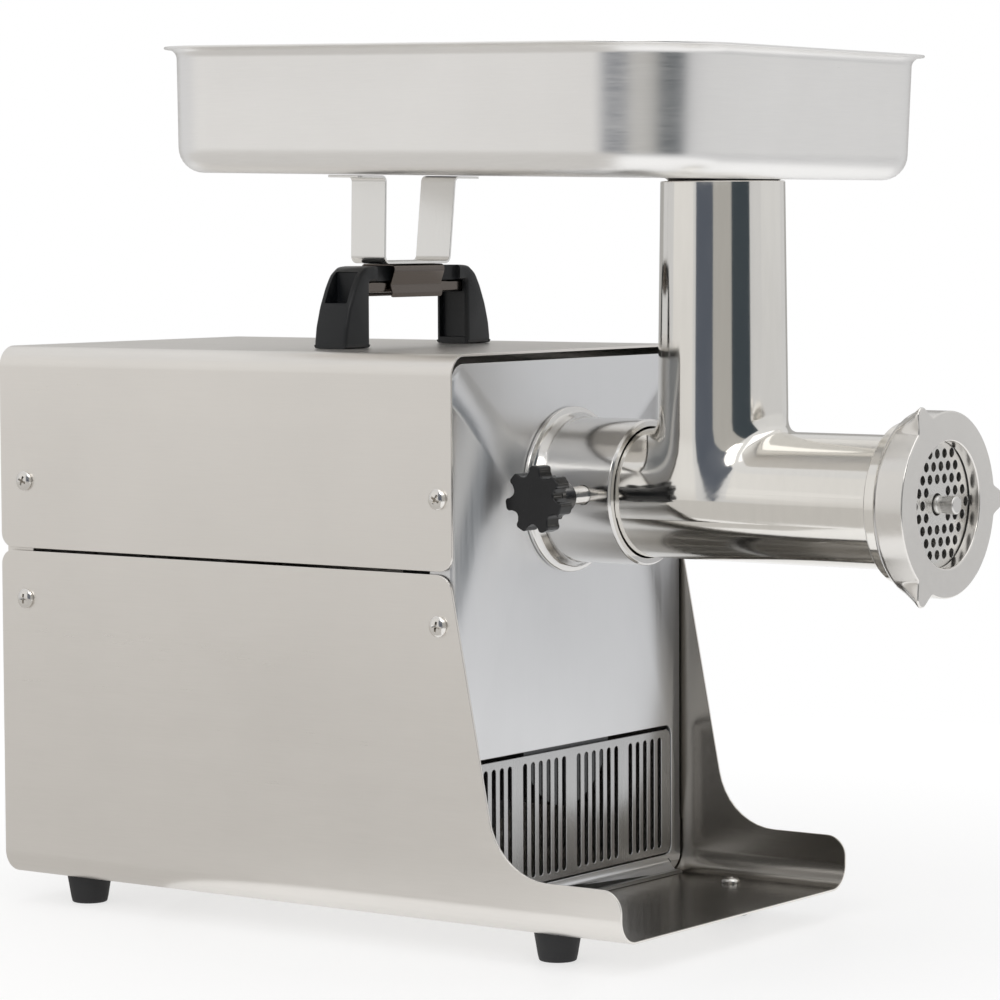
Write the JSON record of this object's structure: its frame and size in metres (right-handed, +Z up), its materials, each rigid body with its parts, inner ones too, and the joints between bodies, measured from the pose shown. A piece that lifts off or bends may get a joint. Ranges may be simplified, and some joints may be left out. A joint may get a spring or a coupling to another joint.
{
  "type": "electric meat grinder",
  "caption": "Countertop electric meat grinder: boxy sheet-steel body with a drip lip, gear motor, round feed head with perforated plate, and a food tray over it.",
  "frame": {"origin": "centre of the bounding box on the plane the feet stand on", "axes": "+Z up, -Y out of the front where the ground meat leaves, +X to the right seen from the front"},
  "size_m": [0.246, 0.4914, 0.4156],
  "materials": {
    "brushed_shell": "satin brushed stainless sheet",
    "polished_panel": "polished stainless",
    "polished_head": "polished cast stainless",
    "satin_cast": "fine turned and tumbled steel",
    "screw_steel": "bright steel",
    "black_plastic": "moulded black plastic, fine grain",
    "black_rubber": "black rubber",
    "cast_aluminium": "as-cast aluminium",
    "gear_steel": "ground steel",
    "lamination": "stacked electrical steel",
    "copper_wire": "enamelled copper wire",
    "red_plastic": "moulded red plastic"
  },
  "bodies": {
    "machine": {"base_shell": "brushed_shell", "top_cover": "brushed_shell", "vent_grille": "brushed_shell", "rear_panel": "brushed_shell", "front_panel": "polished_panel", "head_collar": "polished_head", "head_casing": "polished_head", "grinding_plate": "satin_cast", "handle_strap": "screw_steel", "handle_arch": "black_plastic", "run_capacitor": "black_plastic", "switch_body": "black_plastic", "breaker_body": "black_plastic", "cord_gland": "black_plastic", "shaft_seal": "black_rubber", "gearbox_housing": "cast_aluminium", "gearbox_cover": "cast_aluminium", "motor_front_bell": "cast_aluminium", "motor_rear_bell": "cast_aluminium", "motor_cradle": "cast_aluminium", "output_bearing_front": "gear_steel", "output_bearing_rear": "gear_steel", "layshaft_bearing_front": "gear_steel", "layshaft_bearing_rear": "gear_steel", "motor_bearing_front": "gear_steel", "motor_bearing_rear": "gear_steel", "motor_stator": "lamination", "motor_winding_front": "copper_wire", "motor_winding_rear": "copper_wire", "foot_front_left": "black_rubber", "foot_rear_left": "black_rubber", "foot_front_right": "black_rubber", "foot_rear_right": "black_rubber", "foot_screw_front_left": "screw_steel", "foot_screw_rear_left": "screw_steel", "foot_screw_front_right": "screw_steel", "foot_screw_rear_right": "screw_steel", "side_screw_upper_front_left": "screw_steel", "side_screw_lower_front_left": "screw_steel", "side_screw_upper_rear_left": "screw_steel", "side_screw_lower_rear_left": "screw_steel", "side_screw_upper_front_right": "screw_steel", "side_screw_lower_front_right": "screw_steel", "side_screw_upper_rear_right": "screw_steel", "side_screw_lower_rear_right": "screw_steel"},
    "rotor": {"motor_shaft": "gear_steel", "rotor_core": "lamination", "cooling_fan": "black_plastic"},
    "layshaft": {"layshaft": "gear_steel"},
    "drive": {"drive_shaft": "gear_steel", "output_gear": "gear_steel", "auger": "satin_cast", "cutter_knife": "satin_cast"},
    "ring_nut": {"ring_nut": "satin_cast"},
    "lock_knob": {"lock_knob": "black_plastic"},
    "tray": {"tray_pan": "brushed_shell", "tray_bracket": "brushed_shell", "tray_clip": "screw_steel"},
    "rocker": {"switch_rocker": "black_plastic"},
    "reset_button": {"breaker_button": "red_plastic"}
  },
  "joints": [
    {"name": "rotor_spin", "type": "hinge", "parent": "machine", "child": "rotor", "pos_m": [0, 0.0594, 0.0939], "axis": [0, -1, 0], "continuous": true},
    {"name": "layshaft_spin", "type": "hinge", "parent": "machine", "child": "layshaft", "pos_m": [0, -0.0076, 0.1479], "axis": [0, -1, 0], "continuous": true},
    {"name": "drive_spin", "type": "hinge", "parent": "machine", "child": "drive", "pos_m": [0, -0.1306, 0.2079], "axis": [0, -1, 0], "continuous": true},
    {"name": "ring_nut_turn", "type": "hinge", "parent": "machine", "child": "ring_nut", "pos_m": [0, -0.2336, 0.2079], "axis": [0, -1, 0], "range_deg": [0, 780]},
    {"name": "lock_knob_turn", "type": "hinge", "parent": "machine", "child": "lock_knob", "pos_m": [-0.06, -0.0689, 0.2079], "axis": [-1, 0, 0], "range_deg": [0, 900]},
    {"name": "tray_lift", "type": "slide", "parent": "machine", "child": "tray", "axis": [0, 0, 1], "range_m": [0, 0.09]},
    {"name": "rocker_tilt", "type": "hinge", "parent": "machine", "child": "rocker", "pos_m": [0.048, 0.2308, 0.124], "axis": [1, 0, 0], "range_deg": [0, 10]},
    {"name": "reset_press", "type": "slide", "parent": "machine", "child": "reset_button", "axis": [0, -1, 0], "range_m": [0, 0.002], "stiffness_N_per_m": 400}
  ],
  "couplings": [
    {"joint": "layshaft_spin", "follows": "rotor_spin", "ratio": -0.28571},
    {"joint": "drive_spin", "follows": "rotor_spin", "ratio": 0.11765}
  ]
}
